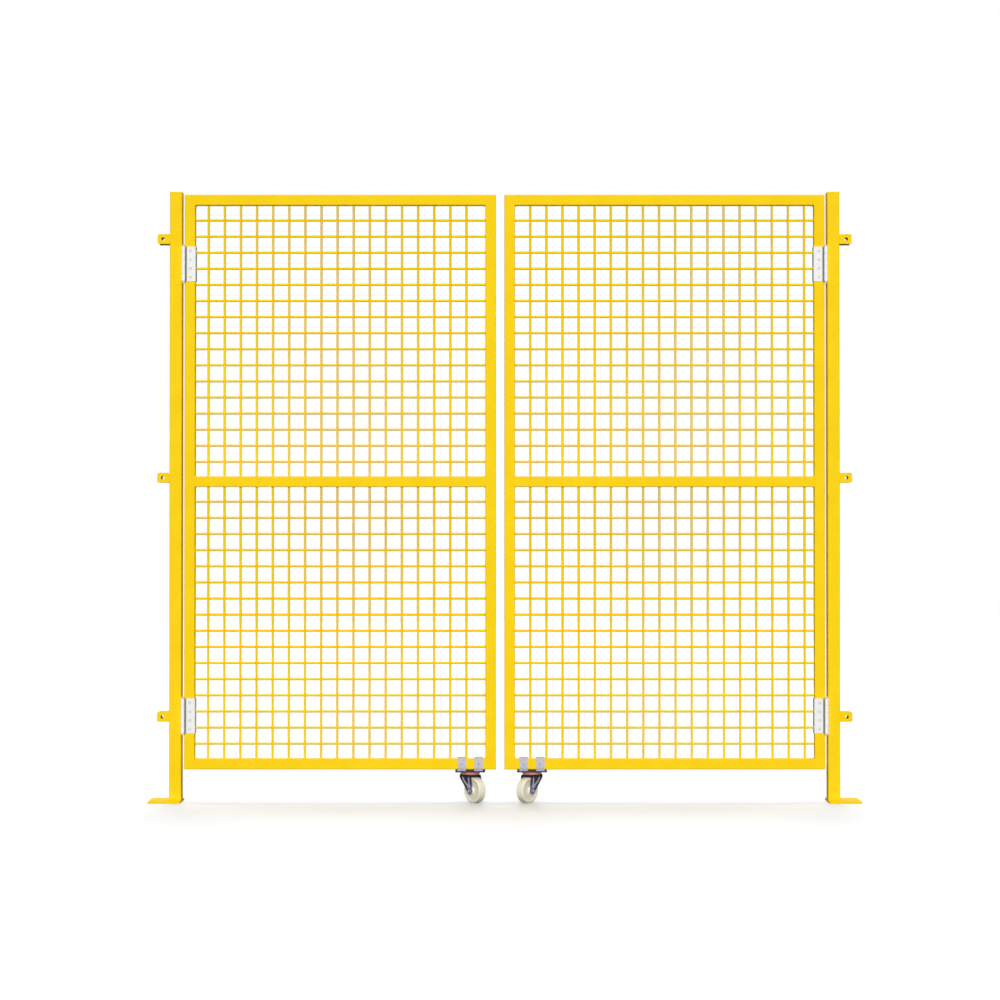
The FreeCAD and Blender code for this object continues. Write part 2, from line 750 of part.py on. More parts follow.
def caster_wheel(label, wheel_place):
    """Moulded wheel: a broad rim, a recessed web and a hub that fills the fork."""
    body = new_body(label)
    sketch = new_sketch(body, "XY_Plane")
    bore = "(axle / 2 + axle_clearance)"
    hub_end = f"({FORK_INSIDE} / 2 - hub_clearance)"
    rim = "(wheel_diameter / 2 - wheel_rim)"
    half = [
        (bore, hub_end),
        ("hub_diameter / 2", hub_end),
        ("hub_diameter / 2", "wheel_web / 2"),
        (rim, "wheel_web / 2"),
        (rim, "wheel_width / 2"),
        (WHEEL_RADIUS, "wheel_width / 2"),
    ]
    outline(sketch, half + [(x, f"-{y}") for x, y in reversed(half)])
    turned = revolve(body, sketch)
    doc.recompute()
    reach = turned.Shape.BoundBox.XMax

    def is_tread(edge):
        return edge.Curve.TypeId == "Part::GeomCircle" and abs(edge.Curve.Radius - reach) < TOUCHING

    round_edges(body, turned, "wheel_edge", is_tread)
    place(body, *wheel_place[:3], turn=wheel_place[3])
    nodes.append(body)


def caster(side, hand):
    """Swivel caster near the meeting stile, its wheel trailing towards the other leaf and the front."""
    axis_x = from_post(hand, f"hinge_gap + {leaf_width(side)} - {side}_caster_inset")
    caster_mount(side, hand, axis_x)
    turn = "-caster_turn" if hand > 0 else "caster_turn - 180"
    caster_fork(f"{side}_caster_fork", axis_x, turn)
    wheel_place = (
        f"{axis_x} + caster_trail * cos({turn})",
        f"{LEAF_MIDDLE} + caster_trail * sin({turn})",
        WHEEL_RADIUS,
        turn,
    )
    caster_axle(f"{side}_caster_axle", wheel_place)
    caster_wheel(f"{side}_caster_wheel", wheel_place)


def build():
    for side, hand in SIDES:
        post(f"{side}_post", hand)
        post_cap(f"{side}_post_cap", hand)
        base_plate(f"{side}_base_plate", hand)
        lugs = [panel_lug(f"{side}_lug_{i + 1}", hand, i) for i in range(LUGS_PER_POST)]
        group(f"{side}_panel_lugs", lugs)
        hinges(side, hand)
        leaf_frame(side, hand)
        mesh_panel(f"{side}_lower_mesh", side, hand, f"{LEAF_BOTTOM} + frame_face")
        mesh_panel(f"{side}_upper_mesh", side, hand, f"{LEAF_BOTTOM} + {LEAF_HEIGHT} / 2 + frame_face / 2")
        caster(side, hand)


def export():
    doc.recompute()
    for thing in doc.Objects:
        if {"Invalid", "Error"} & set(thing.State):
            raise RuntimeError(f"{thing.Label} failed: {thing.State}")
    for node in nodes:
        if node.Shape.isNull() or not node.Shape.isValid():
            raise RuntimeError(f"{node.Label} has no valid shape")
    os.makedirs("parts", exist_ok=True)
    for node in nodes:
        node.Shape.exportStep(f"parts/{node.Label}.step")


build()
export()
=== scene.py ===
"""Looks of the double swing mesh safety gate: powder coat, round wire, welds, fasteners, and the studio."""
import json
import math
import random

import bmesh
import bpy
from mathutils import Matrix, Vector

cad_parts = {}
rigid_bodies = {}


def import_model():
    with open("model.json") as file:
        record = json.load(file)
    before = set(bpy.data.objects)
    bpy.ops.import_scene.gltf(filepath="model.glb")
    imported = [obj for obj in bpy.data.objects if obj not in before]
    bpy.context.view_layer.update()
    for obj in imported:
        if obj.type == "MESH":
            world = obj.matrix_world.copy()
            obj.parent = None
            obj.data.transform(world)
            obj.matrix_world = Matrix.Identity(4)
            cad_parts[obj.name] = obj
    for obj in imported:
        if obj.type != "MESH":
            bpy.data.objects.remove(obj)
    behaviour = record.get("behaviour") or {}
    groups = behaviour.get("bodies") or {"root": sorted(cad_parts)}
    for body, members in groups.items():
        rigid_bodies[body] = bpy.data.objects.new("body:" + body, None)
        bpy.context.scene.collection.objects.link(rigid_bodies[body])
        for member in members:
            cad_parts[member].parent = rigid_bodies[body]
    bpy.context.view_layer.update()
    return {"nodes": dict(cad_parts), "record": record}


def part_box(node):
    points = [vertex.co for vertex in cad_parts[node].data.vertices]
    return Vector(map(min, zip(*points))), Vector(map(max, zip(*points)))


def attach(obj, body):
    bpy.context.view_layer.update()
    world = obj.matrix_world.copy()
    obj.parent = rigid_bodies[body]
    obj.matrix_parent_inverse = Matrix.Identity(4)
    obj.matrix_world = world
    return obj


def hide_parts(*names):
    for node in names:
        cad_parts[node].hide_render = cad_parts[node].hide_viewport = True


for leftover in list(bpy.data.objects):
    bpy.data.objects.remove(leftover)
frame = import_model()
random.seed(17)

# Sizes are in millimetres, in the part's own frame: x across the opening, y away from the viewer, z up.
TO_METRES = 0.001
# The hand of a side is 1 where the opening lies towards +x of its post, and -1 where it lies towards -x.
SIDES = {"left": 1, "right": -1}
LEVELS = ("lower", "upper")
RECORD = frame["record"]
BODY_OF = {node: body for body, nodes in RECORD["behaviour"]["bodies"].items() for node in nodes}
SLOT_OF = {part["node"]: part["material_slot"] for part in RECORD["subparts"]}

POST_CORNER = 3.5
TUBE_CORNER = 3
HALF_LUG = 15.5
HALF_SLOT = 15

WIRE_RADIUS = 3.7
WIRE_PITCH = 50
# The upright wires lie in front of the level ones, each layer this far from the middle of the panel.
WIRE_LAYER = 2.664
UPRIGHT_WIRES = {"left": 17, "right": 18}
LEVEL_WIRES = 16
# The upright wires stand this far towards the hinge stile.
MESH_SHIFT = 9

HINGE_LENGTH = 108
HINGE_PLATE = 2.5
HINGE_SCREWS = 4
HINGE_BARREL = 5.55
KNUCKLE_RELIEF = 1
KNUCKLES = 5
SLEEVE_RADIUS = 6.5

CASTER_TURN = {"left": -52, "right": 52 - 180}
CASTER_TRAIL = 24
CASTER_RIVET_X = 26
CASTER_RIVET_Y = (-24.5, 24.5)
BRACKET_THICKNESS = 3
WHEEL_RADIUS = 39
WHEEL_HALF_WIDTH = 13
WHEEL_HALF_WEB = 11.5
HUB_RADIUS = 11
HUB_END = 17.7
AXLE_RADIUS = 4
FORK_OUTSIDE = 21

# Steps in a CAD mesh shorter than this would spoil the rounding of its edges, so they are merged first.
HAIR_STEP = 0.2
FLAT_TURN = math.radians(0.5)
SHARP_EDGE = math.radians(35)
SMOOTH_TURN = math.radians(38)
ROUNDING_STEPS = 3
WELD_RIPPLE = 0.14
# Most of a noise's values lie between these two.
NOISE_LOW, NOISE_HIGH = 0.3, 0.7


def box(node):
    """Lowest and highest corner of a CAD node, in millimetres."""
    low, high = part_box(node)
    return low / TO_METRES, high / TO_METRES


# Materials

def new_material(name):
    """A node material with its shader, and the coordinates that its patterns are laid out in, in metres."""
    material = bpy.data.materials.new(name)
    material.use_nodes = True
    tree = material.node_tree
    shader = tree.nodes["Principled BSDF"]
    place = tree.nodes.new("ShaderNodeTexCoord").outputs["Object"]
    return material, tree, shader, place


def noise(tree, place, scale, detail=2.0, stretch=(1, 1, 1)):
    """Cloudy values between 0 and 1, with about scale clouds to the metre."""
    mapping = tree.nodes.new("ShaderNodeMapping")
    mapping.inputs["Scale"].default_value = stretch
    tree.links.new(place, mapping.inputs["Vector"])
    texture = tree.nodes.new("ShaderNodeTexNoise")
    texture.inputs["Scale"].default_value = scale
    texture.inputs["Detail"].default_value = detail
    tree.links.new(mapping.outputs["Vector"], texture.inputs["Vector"])
    return texture.outputs["Fac"]


def spangle(tree, place, scale):
    """Flat crystals of plating, each with its own value between 0 and 1."""
    texture = tree.nodes.new("ShaderNodeTexVoronoi")
    texture.inputs["Scale"].default_value = scale
    tree.links.new(place, texture.inputs["Vector"])
    split = tree.nodes.new("ShaderNodeSeparateColor")
    tree.links.new(texture.outputs["Color"], split.inputs["Color"])
    return split.outputs["Red"]


def colours(tree, value, dark, light):
    """A colour that runs from dark to light over the middle of a noise's range."""
    ramp = tree.nodes.new("ShaderNodeValToRGB")
    ramp.color_ramp.elements[0].position = NOISE_LOW
    ramp.color_ramp.elements[0].color = (*dark, 1)
    ramp.color_ramp.elements[1].position = NOISE_HIGH
    ramp.color_ramp.elements[1].color = (*light, 1)
    tree.links.new(value, ramp.inputs["Fac"])
    return ramp.outputs["Color"]


def spread(tree, value, start, end, low, high):
    """A number that runs from low to high as a value goes from start to end."""
    node = tree.nodes.new("ShaderNodeMapRange")
    node.inputs["From Min"].default_value = start
    node.inputs["From Max"].default_value = end
    node.inputs["To Min"].default_value = low
    node.inputs["To Max"].default_value = high
    tree.links.new(value, node.inputs["Value"])
    return node.outputs["Result"]


def clouded(tree, value, low, high):
    """A number that runs from low to high over the middle of a noise's range."""
    return spread(tree, value, NOISE_LOW, NOISE_HIGH, low, high)


def combine(tree, operation, first, second):
    """Sum, difference, product or larger of two values. The second may be a plain number."""
    node = tree.nodes.new("ShaderNodeMath")
    node.operation = operation
    tree.links.new(first, node.inputs[0])
    if isinstance(second, float):
        node.inputs[1].default_value = second
    else:
        tree.links.new(second, node.inputs[1])
    return node.outputs["Value"]


def from_middle(tree, place, middle):
    """Distance to either side of an upright plane through the gate, then depth and height, all in metres."""
    split = tree.nodes.new("ShaderNodeSeparateXYZ")
    tree.links.new(place, split.inputs["Vector"])
    aside = combine(tree, "SUBTRACT", split.outputs["X"], middle)
    distance = combine(tree, "MAXIMUM", aside, combine(tree, "MULTIPLY", aside, -1.0))
    return distance, split.outputs["Y"], split.outputs["Z"]


def mixed(tree, factor, first, second):
    """One colour that gives way to another as a factor goes from 0 to 1."""
    mix = tree.nodes.new("ShaderNodeMix")
    mix.data_type = "RGBA"
    tree.links.new(factor, mix.inputs["Factor"])
    tree.links.new(first, mix.inputs["A"])
    tree.links.new(second, mix.inputs["B"])
    return mix.outputs["Result"]


def paint(tree, shader, colour, roughness, raised, depth, strength):
    """Give a shader its colour, a cloudy roughness and a bump of up to depth metres."""
    tree.links.new(colour, shader.inputs["Base Color"])
    tree.links.new(roughness, shader.inputs["Roughness"])
    node = tree.nodes.new("ShaderNodeBump")
    node.inputs["Strength"].default_value = strength
    node.inputs["Distance"].default_value = depth
    tree.links.new(raised, node.inputs["Height"])
    tree.links.new(node.outputs["Normal"], shader.inputs["Normal"])


def powder_coat():
    """Safety-yellow powder coat: even colour, satin gloss and a fine orange peel."""
    material, tree, shader, place = new_material("yellow_powder_coat")
    colour = colours(tree, noise(tree, place, scale=14, detail=3), (0.94, 0.63, 0.003), (0.985, 0.67, 0.006))
    roughness = clouded(tree, noise(tree, place, scale=90), 0.30, 0.42)
    peel = noise(tree, place, scale=520, detail=1)
    paint(tree, shader, colour, roughness, peel, depth=0.0001, strength=0.35)
    shader.inputs["Specular IOR Level"].default_value = 0.12
    return material


def hinge_steel(name, dark, light, metallic):
    """Pale satin steel, brushed along the hinge, with painted shade: a dark strip at the root of each plate,
    beside the barrel, where the crease lies in shade.
    """
    # Distances across the opening, in metres: the gate's middle, then how far from it the strip of painted
    # shade lies.
    gate_middle = 1.019
    root_end, root_start, barrel_flank, fade = 0.9838, 0.9846, 0.9892, 0.0005
    material, tree, shader, place = new_material(name)
    grain = noise(tree, place, scale=700, detail=3, stretch=(1, 1, 0.02))
    clean = colours(tree, grain, dark, light)
    crease_shade = colours(tree, grain, (0.26, 0.26, 0.265), (0.33, 0.33, 0.335))
    distance, _, _ = from_middle(tree, place, gate_middle)
    off_plate = spread(tree, distance, root_end, root_start, 0, 1)
    off_barrel = spread(tree, distance, barrel_flank + fade, barrel_flank, 0, 1)
    # Painted shade: the dark colour takes over between the plate's root and the barrel's flank.
    colour = mixed(tree, combine(tree, "MULTIPLY", off_plate, off_barrel), clean, crease_shade)
    paint(tree, shader, colour, clouded(tree, grain, 0.30, 0.44), grain, depth=0.00004, strength=0.4)
    shader.inputs["Metallic"].default_value = metallic
    return material


def zinc():
    """Bright zinc plate with a faint blue cast and small crystals."""
    material, tree, shader, place = new_material("bright_zinc")
    crystals = spangle(tree, place, scale=260)
    colour = colours(tree, crystals, (0.56, 0.56, 0.63), (0.69, 0.69, 0.77))
    roughness = clouded(tree, crystals, 0.30, 0.46)
    paint(tree, shader, colour, roughness, noise(tree, place, scale=900), depth=0.00004, strength=0.4)
    shader.inputs["Metallic"].default_value = 0.9
    return material


def chromate(tree, shader, place, colour, metallic):
    """Give a shader the finish of chromate plate."""
    roughness = clouded(tree, noise(tree, place, scale=320), 0.28, 0.44)
    paint(tree, shader, colour, roughness, noise(tree, place, scale=1100), depth=0.00005, strength=0.4)
    shader.inputs["Metallic"].default_value = metallic


def caster_steel():
    """Chromate plate, blue-violet, with painted shade: almost black above a fork's legs and along their rear
    edge, where they lie in shade.
    """
    # Heights where the painted shade sets in, and the place of the kingpins about the plane between the
    # casters, in metres.
    violet_below, shade_above = 0.048, 0.064
    fork_middle, kingpin_reach, kingpin_depth = 1.008, 0.0955, -0.0065
    turn = math.radians(CASTER_TURN["left"])
    # The rear edge of a leg, behind which shade is painted, as (distance along the trail, height).
    rear_top, rear_foot, rear_fade = Vector((-0.013, 0.078)), Vector((0.016, 0.042)), 0.0025
    material, tree, shader, place = new_material("caster_plate_painted_shade")
    clouds = noise(tree, place, scale=160, detail=4)
    distance, depth, height = from_middle(tree, place, fork_middle)
    inwards = combine(tree, "MULTIPLY", combine(tree, "SUBTRACT", distance, kingpin_reach), -math.cos(turn))
    forwards = combine(tree, "MULTIPLY", combine(tree, "SUBTRACT", depth, kingpin_depth), math.sin(turn))
    along = combine(tree, "ADD", inwards, forwards)
    to_rear = (rear_top - rear_foot).normalized().orthogonal()
    past_along = combine(tree, "MULTIPLY", combine(tree, "SUBTRACT", along, rear_top.x), to_rear.x)
    past_down = combine(tree, "MULTIPLY", combine(tree, "SUBTRACT", height, rear_top.y), to_rear.y)
    behind = spread(tree, combine(tree, "ADD", past_along, past_down), 0, rear_fade, 0, 1)
    violet = colours(tree, clouds, (0.20, 0.185, 0.37), (0.28, 0.26, 0.48))
    dark = colours(tree, clouds, (0.018, 0.017, 0.03), (0.05, 0.048, 0.085))
    crown_shade = spread(tree, height, violet_below, shade_above, 0, 1)
    # Painted shade: the dark colour takes over above the legs and behind their rear edge.
    colour = mixed(tree, combine(tree, "MAXIMUM", crown_shade, behind), violet, dark)
    chromate(tree, shader, place, colour, metallic=0.35)
    return material


def rib_highlight_steel():
    """Paler chromate plate for raised ribs and screw heads: a painted highlight, where their raised shapes
    catch the light.
    """
    material, tree, shader, place = new_material("caster_plate_painted_highlight")
    colour = colours(tree, noise(tree, place, scale=160, detail=4), (0.42, 0.41, 0.52), (0.56, 0.55, 0.66))
    chromate(tree, shader, place, colour, metallic=0.4)
    return material


def lug_shade():
    """Painted shade inside the lugs: a dull dark olive, darker than the powder coat, standing for the deep
    shade inside the U.
    """
    material, tree, shader, place = new_material("lug_inside_painted_shade")
    grain = noise(tree, place, scale=300, detail=3)
    colour = colours(tree, grain, (0.075, 0.052, 0.003), (0.12, 0.085, 0.006))
    paint(tree, shader, colour, clouded(tree, grain, 0.5, 0.7), grain, depth=0.00005, strength=0.4)
    return material


def race_paint():
    """Dusty red ring."""
    material, tree, shader, place = new_material("dusty_red_ring")
    colour = colours(tree, noise(tree, place, scale=220, detail=4), (0.62, 0.23, 0.18), (0.78, 0.34, 0.27))
    roughness = clouded(tree, noise(tree, place, scale=400), 0.5, 0.7)
    paint(tree, shader, colour, roughness, noise(tree, place, scale=1300), depth=0.00006, strength=0.5)
    return material


def nylon():
    """Cream cast nylon, a little translucent."""
    material, tree, shader, place = new_material("cream_nylon")
    colour = colours(tree, noise(tree, place, scale=60, detail=4), (0.86, 0.81, 0.63), (0.92, 0.88, 0.72))
    roughness = clouded(tree, noise(tree, place, scale=240), 0.34, 0.5)
    paint(tree, shader, colour, roughness, noise(tree, place, scale=700), depth=0.00008, strength=0.4)
    shader.inputs["Subsurface Weight"].default_value = 0.12
    shader.inputs["Subsurface Radius"].default_value = (0.004, 0.0035, 0.002)
    return material


def bright_steel():
    """Plain turned steel."""
    material, tree, shader, place = new_material("turned_steel")
    grain = noise(tree, place, scale=1400)
    colour = colours(tree, grain, (0.74, 0.74, 0.75), (0.88, 0.88, 0.89))
    paint(tree, shader, colour, clouded(tree, grain, 0.28, 0.42), grain, depth=0.00004, strength=0.3)
    shader.inputs["Metallic"].default_value = 0.7
    return material


MATERIALS = {
    "yellow_paint": powder_coat(),
    "hinge_steel": hinge_steel("satin_hinge_steel", (0.86, 0.86, 0.84), (0.95, 0.95, 0.93), metallic=0.5),
    "bracket_zinc": zinc(),
    "caster_steel": caster_steel(),
    "race_paint": race_paint(),
    "wheel_nylon": nylon(),
    "bright_steel": bright_steel(),
}
# Painted highlight for the raised ribs and screw heads.
RIB_HIGHLIGHT_STEEL = rib_highlight_steel()
# Painted highlight: a whiter, less metallic copy of the hinge steel for the barrels, standing for the light
# on their round fronts.
LIT_BARREL_STEEL = hinge_steel("barrel_steel_painted_highlight", (0.95, 0.95, 0.95), (1.0, 1.0, 1.0), metallic=0.1)
LUG_SHADE = lug_shade()
for node in frame["nodes"].values():
    for node_slot in node.material_slots:
        node_slot.material = MATERIALS[node_slot.material.name]


# Shapes

def level_normals(mesh):
    """Shade the large flat faces flat, so that the light turns only over the narrow rounded edges."""
    normals = [Vector() for vertex in mesh.vertices]
    for face in mesh.polygons:
        for corner in face.vertices:
            normals[corner] += face.normal * face.area
    mesh.normals_split_custom_set_from_vertices([normal.normalized() for normal in normals])


def new_piece(name, shape, body, slot, replaced=None, material=None, inside=None, eased=False):
    """Turn a finished shape, drawn in millimetres, into an object that rides on a body."""
    bmesh.ops.recalc_face_normals(shape, faces=shape.faces)
    mesh = bpy.data.meshes.new(name)
    shape.to_mesh(mesh)
    shape.free()
    mesh.transform(Matrix.Scale(TO_METRES, 4))
    mesh.shade_smooth()
    if eased:
        level_normals(mesh)
    else:
        mesh.set_sharp_from_angle(angle=SMOOTH_TURN)
    mesh.materials.append(material or MATERIALS[slot])
    if inside:
        mesh.materials.append(inside)
    piece = bpy.data.objects.new(name, mesh)
    bpy.context.scene.collection.objects.link(piece)
    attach(piece, body)
    if replaced:
        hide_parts(replaced)


def ease(shape, radius):
    """Round the sharp edges of a shape."""
    bmesh.ops.recalc_face_normals(shape, faces=shape.faces)
    sharp = [edge for edge in shape.edges if edge.is_manifold and edge.calc_face_angle() > SHARP_EDGE]
    bmesh.ops.bevel(
        shape,
        geom=sharp,
        offset=radius,
        segments=ROUNDING_STEPS,
        profile=0.5,
        affect="EDGES",
        clamp_overlap=True,
    )


def lug_heights(side):
    """Height of the bolt hole in each lug of a post."""
    heights = []
    for mount in RECORD["mounts"]:
        if mount["name"].startswith(side) and mount["name"].endswith("lug_hole"):
            heights.append(mount["pos_m"][2] / TO_METRES)
    return heights


def mark_inside(shape, side):
    """Give the faces inside the lugs a second material, the painted shade, from a little above each bolt hole
    down.
    """
    above_hole, touching = 9, 0.1
    for height in lug_heights(side):
        shade_edge = height + above_hole
        everything = shape.verts[:] + shape.edges[:] + shape.faces[:]
        bmesh.ops.bisect_plane(shape, geom=everything, plane_co=(0, 0, shade_edge), plane_no=(0, 0, 1))
        for face in shape.faces:
            middle = face.calc_center_median()
            inside = abs(middle.y) < HALF_SLOT + touching and abs(face.normal.z) < 0.5
            if inside and height - HALF_LUG < middle.z < shade_edge:
                face.material_index = 1


def rounded_copy(side, part, radius):
    """Stand for a CAD node with the same shape, its sharp edges eased as pressing and plating leave them."""
    node = f"{side}_{part}"
    inside = None
    shape = bmesh.new()
    shape.from_mesh(frame["nodes"][node].data)
    bmesh.ops.scale(shape, vec=(1 / TO_METRES,) * 3, verts=shape.verts)
    bmesh.ops.remove_doubles(shape, verts=shape.verts, dist=HAIR_STEP)
    bmesh.ops.dissolve_limit(shape, angle_limit=FLAT_TURN, verts=shape.verts, edges=shape.edges)
    ease(shape, radius)
    if part == "panel_lugs":
        # Painted shade inside the lugs, as a second material.
        inside = LUG_SHADE
        mark_inside(shape, side)
    new_piece(f"{node}_eased", shape, BODY_OF[node], SLOT_OF[node], node, inside=inside, eased=True)


def skin(shape, rings, closed=False):
    """Join rings of points, all with the same count: into a tube with ends, or round into a closed loop."""
    loops = [[shape.verts.new(point) for point in ring] for ring in rings]
    count = len(rings[0])
    pairs = list(zip(loops, loops[1:]))
    if closed:
        pairs.append((loops[-1], loops[0]))
    else:
        shape.faces.new(loops[0])
        shape.faces.new(loops[-1])
    for near, far in pairs:
        for i in range(count):
            j = (i + 1) % count
            shape.faces.new((near[i], near[j], far[j], far[i]))


def stand(point, axis):
    """Placement of a turned or hexagonal shape: its foot at a point, its height along an axis."""
    return Matrix.Translation(point) @ Vector(axis).to_track_quat("Z", "Y").to_matrix().to_4x4()


def ring(place, reach, height, sides):
    """Points round an axis. The reach is a number, or a function of the angle."""
    points = []
    for i in range(sides):
        angle = math.tau * i / sides
        out = reach(angle) if callable(reach) else reach
        points.append(place @ Vector((out * math.cos(angle), out * math.sin(angle), height)))
    return points


def turned(shape, place, profile, sides=24, closed=False):
    """Solid of revolution through (radius, height) pairs. A closed profile goes round a bore."""
    skin(shape, [ring(place, radius, height, sides) for radius, height in profile], closed)


def soft_corners(corners, steps=5):
    """Closed profile through corners given as (x, y, radius), each turned into an arc of its radius."""
    points = []
    for i, (x, y, radius) in enumerate(corners):
        corner = Vector((x, y))
        if radius == 0:
            points.append(corner)
            continue
        before = (Vector(corners[i - 1][:2]) - corner).normalized()
        after = (Vector(corners[(i + 1) % len(corners)][:2]) - corner).normalized()
        half_angle = before.angle(after) / 2
        middle = corner + (before + after).normalized() * (radius / math.sin(half_angle))
        start = corner + before * (radius / math.tan(half_angle)) - middle
        end = corner + after * (radius / math.tan(half_angle)) - middle
        for k in range(steps + 1):
            points.append(middle + radius * start.slerp(end, k / steps))
    return points


def dome(radius, height):
    """Profile of a low rivet head with a short straight edge."""
    points = [(radius, 0)]
    for degrees in range(0, 90, 15):
        angle = math.radians(degrees)
        points.append((radius * math.cos(angle), height * (0.25 + 0.75 * math.sin(angle))))
    return points


def hexagon(across_flats):
    """Reach of a hexagon's side at an angle, as a function."""
    sector = math.radians(60)

    def reach(angle):
        return across_flats / 2 / math.cos((angle + sector / 2) % sector - sector / 2)

    return reach


def screw_head(shape, place, diameter, height, socket):
    """Low domed screw head with a hexagon socket."""
    radius = diameter / 2
    well = hexagon(socket)
    skin(shape, [
        ring(place, radius, 0, 36),
        ring(place, radius, 0.25 * height, 36),
        ring(place, 0.93 * radius, 0.6 * height, 36),
        ring(place, 0.78 * radius, 0.88 * height, 36),
        ring(place, 0.6 * socket + 0.35, height, 36),
        ring(place, well, height, 36),
        ring(place, well, 0.2 * height, 36),
        ring(place, 0.3 * socket, 0.1 * height, 36),
    ])


def bead(shape, path, up, width, height, ripple=0.0):
    """Run of weld along a path: half as wide and half as high as given to each side of its middle line."""
    sides = 10
    up = Vector(up).normalized()
    lengths = [0.0]
    for near, far in zip(path, path[1:]):
        lengths.append(lengths[-1] + (far - near).length)
    rings = []
    for i, point in enumerate(path):
        ahead = path[min(i + 1, len(path) - 1)] - path[max(i - 1, 0)]
        across = ahead.normalized().cross(up)
        from_end = min(lengths[i], lengths[-1] - lengths[i])
        taper = math.sqrt(1 - (1 - min(1, 0.1 + from_end / width)) ** 2)
        swell = taper * (1 - ripple * (i % 4) / 3 + ripple * random.uniform(-0.25, 0.25))
        rings.append([
            point
            + across * (swell * width / 2 * math.cos(math.tau * k / sides))
            + up * (swell * height / 2 * math.sin(math.tau * k / sides))
            for k in range(sides)
        ])
    skin(shape, rings)


def straight(start, end, step=0.8):
    """Points along a line, about step apart."""
    start, end = Vector(start), Vector(end)
    count = max(4, round((end - start).length / step))
    return [start.lerp(end, i / count) for i in range(count + 1)]


def round_tube(axis, reach, corner, height, hand):
    """Points round a square tube with rounded corners, from the middle of the side that faces the opening."""
    flat = reach - corner
    quarter = straight((reach, 0, 0), (reach, flat, 0))
    for i in range(1, 6):
        angle = math.radians(15 * i)
        quarter.append(Vector((flat + corner * math.cos(angle), flat + corner * math.sin(angle), 0)))
    quarter += straight((flat, reach, 0), (0, reach, 0))[:-1]
    points = []
    for turn in range(4):
        for point in quarter:
            x, y, _ = Matrix.Rotation(turn * math.pi / 2, 3, "Z") @ point
            points.append(Vector((axis + hand * x, y, height)))
    return points


# Mesh panels

def wire(shape, start, end):
    """Round wire between two points, with a small collar of weld where each end meets the frame."""
    start, end = Vector(start), Vector(end)
    length = (end - start).length
    weld = 2.2
    collar = (
        (WIRE_RADIUS + 1.9, 0),
        (WIRE_RADIUS + 0.8, 0.35 * weld),
        (WIRE_RADIUS + 0.2, 0.75 * weld),
        (WIRE_RADIUS, weld),
    )
    far_collar = [(radius, length - height) for radius, height in reversed(collar)]
    turned(shape, stand(start, end - start), [*collar, *far_collar], sides=14)


def spot_weld(shape, x, middle_y, z):
    """Metal squeezed out where two wires are pressed together."""
    end, bulge, half_depth, half_bulge = 2.8, 4.7, 1.7, 0.45
    turned(shape, stand((x, middle_y - half_depth, z), (0, 1, 0)), [
        (end, 0),
        (bulge, half_depth - half_bulge),
        (bulge, half_depth + half_bulge),
        (end, 2 * half_depth),
    ], sides=12)


def mesh_panel(side, hand, level):
    """Welded panel of round wire that stands for the six-sided bars of the CAD panel."""
    node = f"{side}_{level}_mesh"
    low, high = box(node)
    middle = (low + high) / 2
    first_x = middle.x - hand * MESH_SHIFT - WIRE_PITCH * (UPRIGHT_WIRES[side] - 1) / 2
    first_z = middle.z - WIRE_PITCH * (LEVEL_WIRES - 1) / 2
    columns = [first_x + WIRE_PITCH * i for i in range(UPRIGHT_WIRES[side])]
    rows = [first_z + WIRE_PITCH * i for i in range(LEVEL_WIRES)]
    front, back = middle.y - WIRE_LAYER, middle.y + WIRE_LAYER
    shape = bmesh.new()
    for x in columns:
        wire(shape, (x, front, low.z), (x, front, high.z))
    for z in rows:
        wire(shape, (low.x, back, z), (high.x, back, z))
    for x in columns:
        for z in rows:
            spot_weld(shape, x, middle.y, z)
    new_piece(f"{side}_{level}_wires", shape, f"{side}_leaf", "yellow_paint", node)


# Welds

def post_welds(side, hand):
    """Fillets at the foot of a post and beside its lugs, and a ground seam under its cap."""
    low, high = box(f"{side}_post")
    axis = (low.x + high.x) / 2
    half = (high.x - low.x) / 2
    lift = 1.1
    foot_weld, lug_weld = 5.6, 4.4
    seam_width, seam_height = 0.7, 3.2
    off_post, ear_inset, end_gap = 0.3, 1.2, 1
    shape = bmesh.new()
    foot = round_tube(axis, half + lift, POST_CORNER + lift, low.z + lift, hand)
    welded_sides = [point for point in foot if hand * (point.x - axis) < half]
    bead(shape, welded_sides, (0, 0, 1), foot_weld, foot_weld, ripple=WELD_RIPPLE)
    seam = round_tube(axis, half, POST_CORNER, high.z, hand)
    bead(shape, seam + seam[:1], (0, 0, 1), seam_width, seam_height, ripple=0.1)
    lugs = box(f"{side}_panel_lugs")
    lug_x = axis - hand * (half + off_post)
    for middle in lug_heights(side):
        for lug_y in (lugs[0].y + ear_inset, lugs[1].y - ear_inset):
            start = (lug_x, lug_y, middle - HALF_LUG + end_gap)
            end = (lug_x, lug_y, middle + HALF_LUG - end_gap)
            bead(shape, straight(start, end), (0, lug_y, 0), lug_weld, lug_weld, ripple=WELD_RIPPLE)
    new_piece(f"{side}_post_welds", shape, "posts", "yellow_paint")


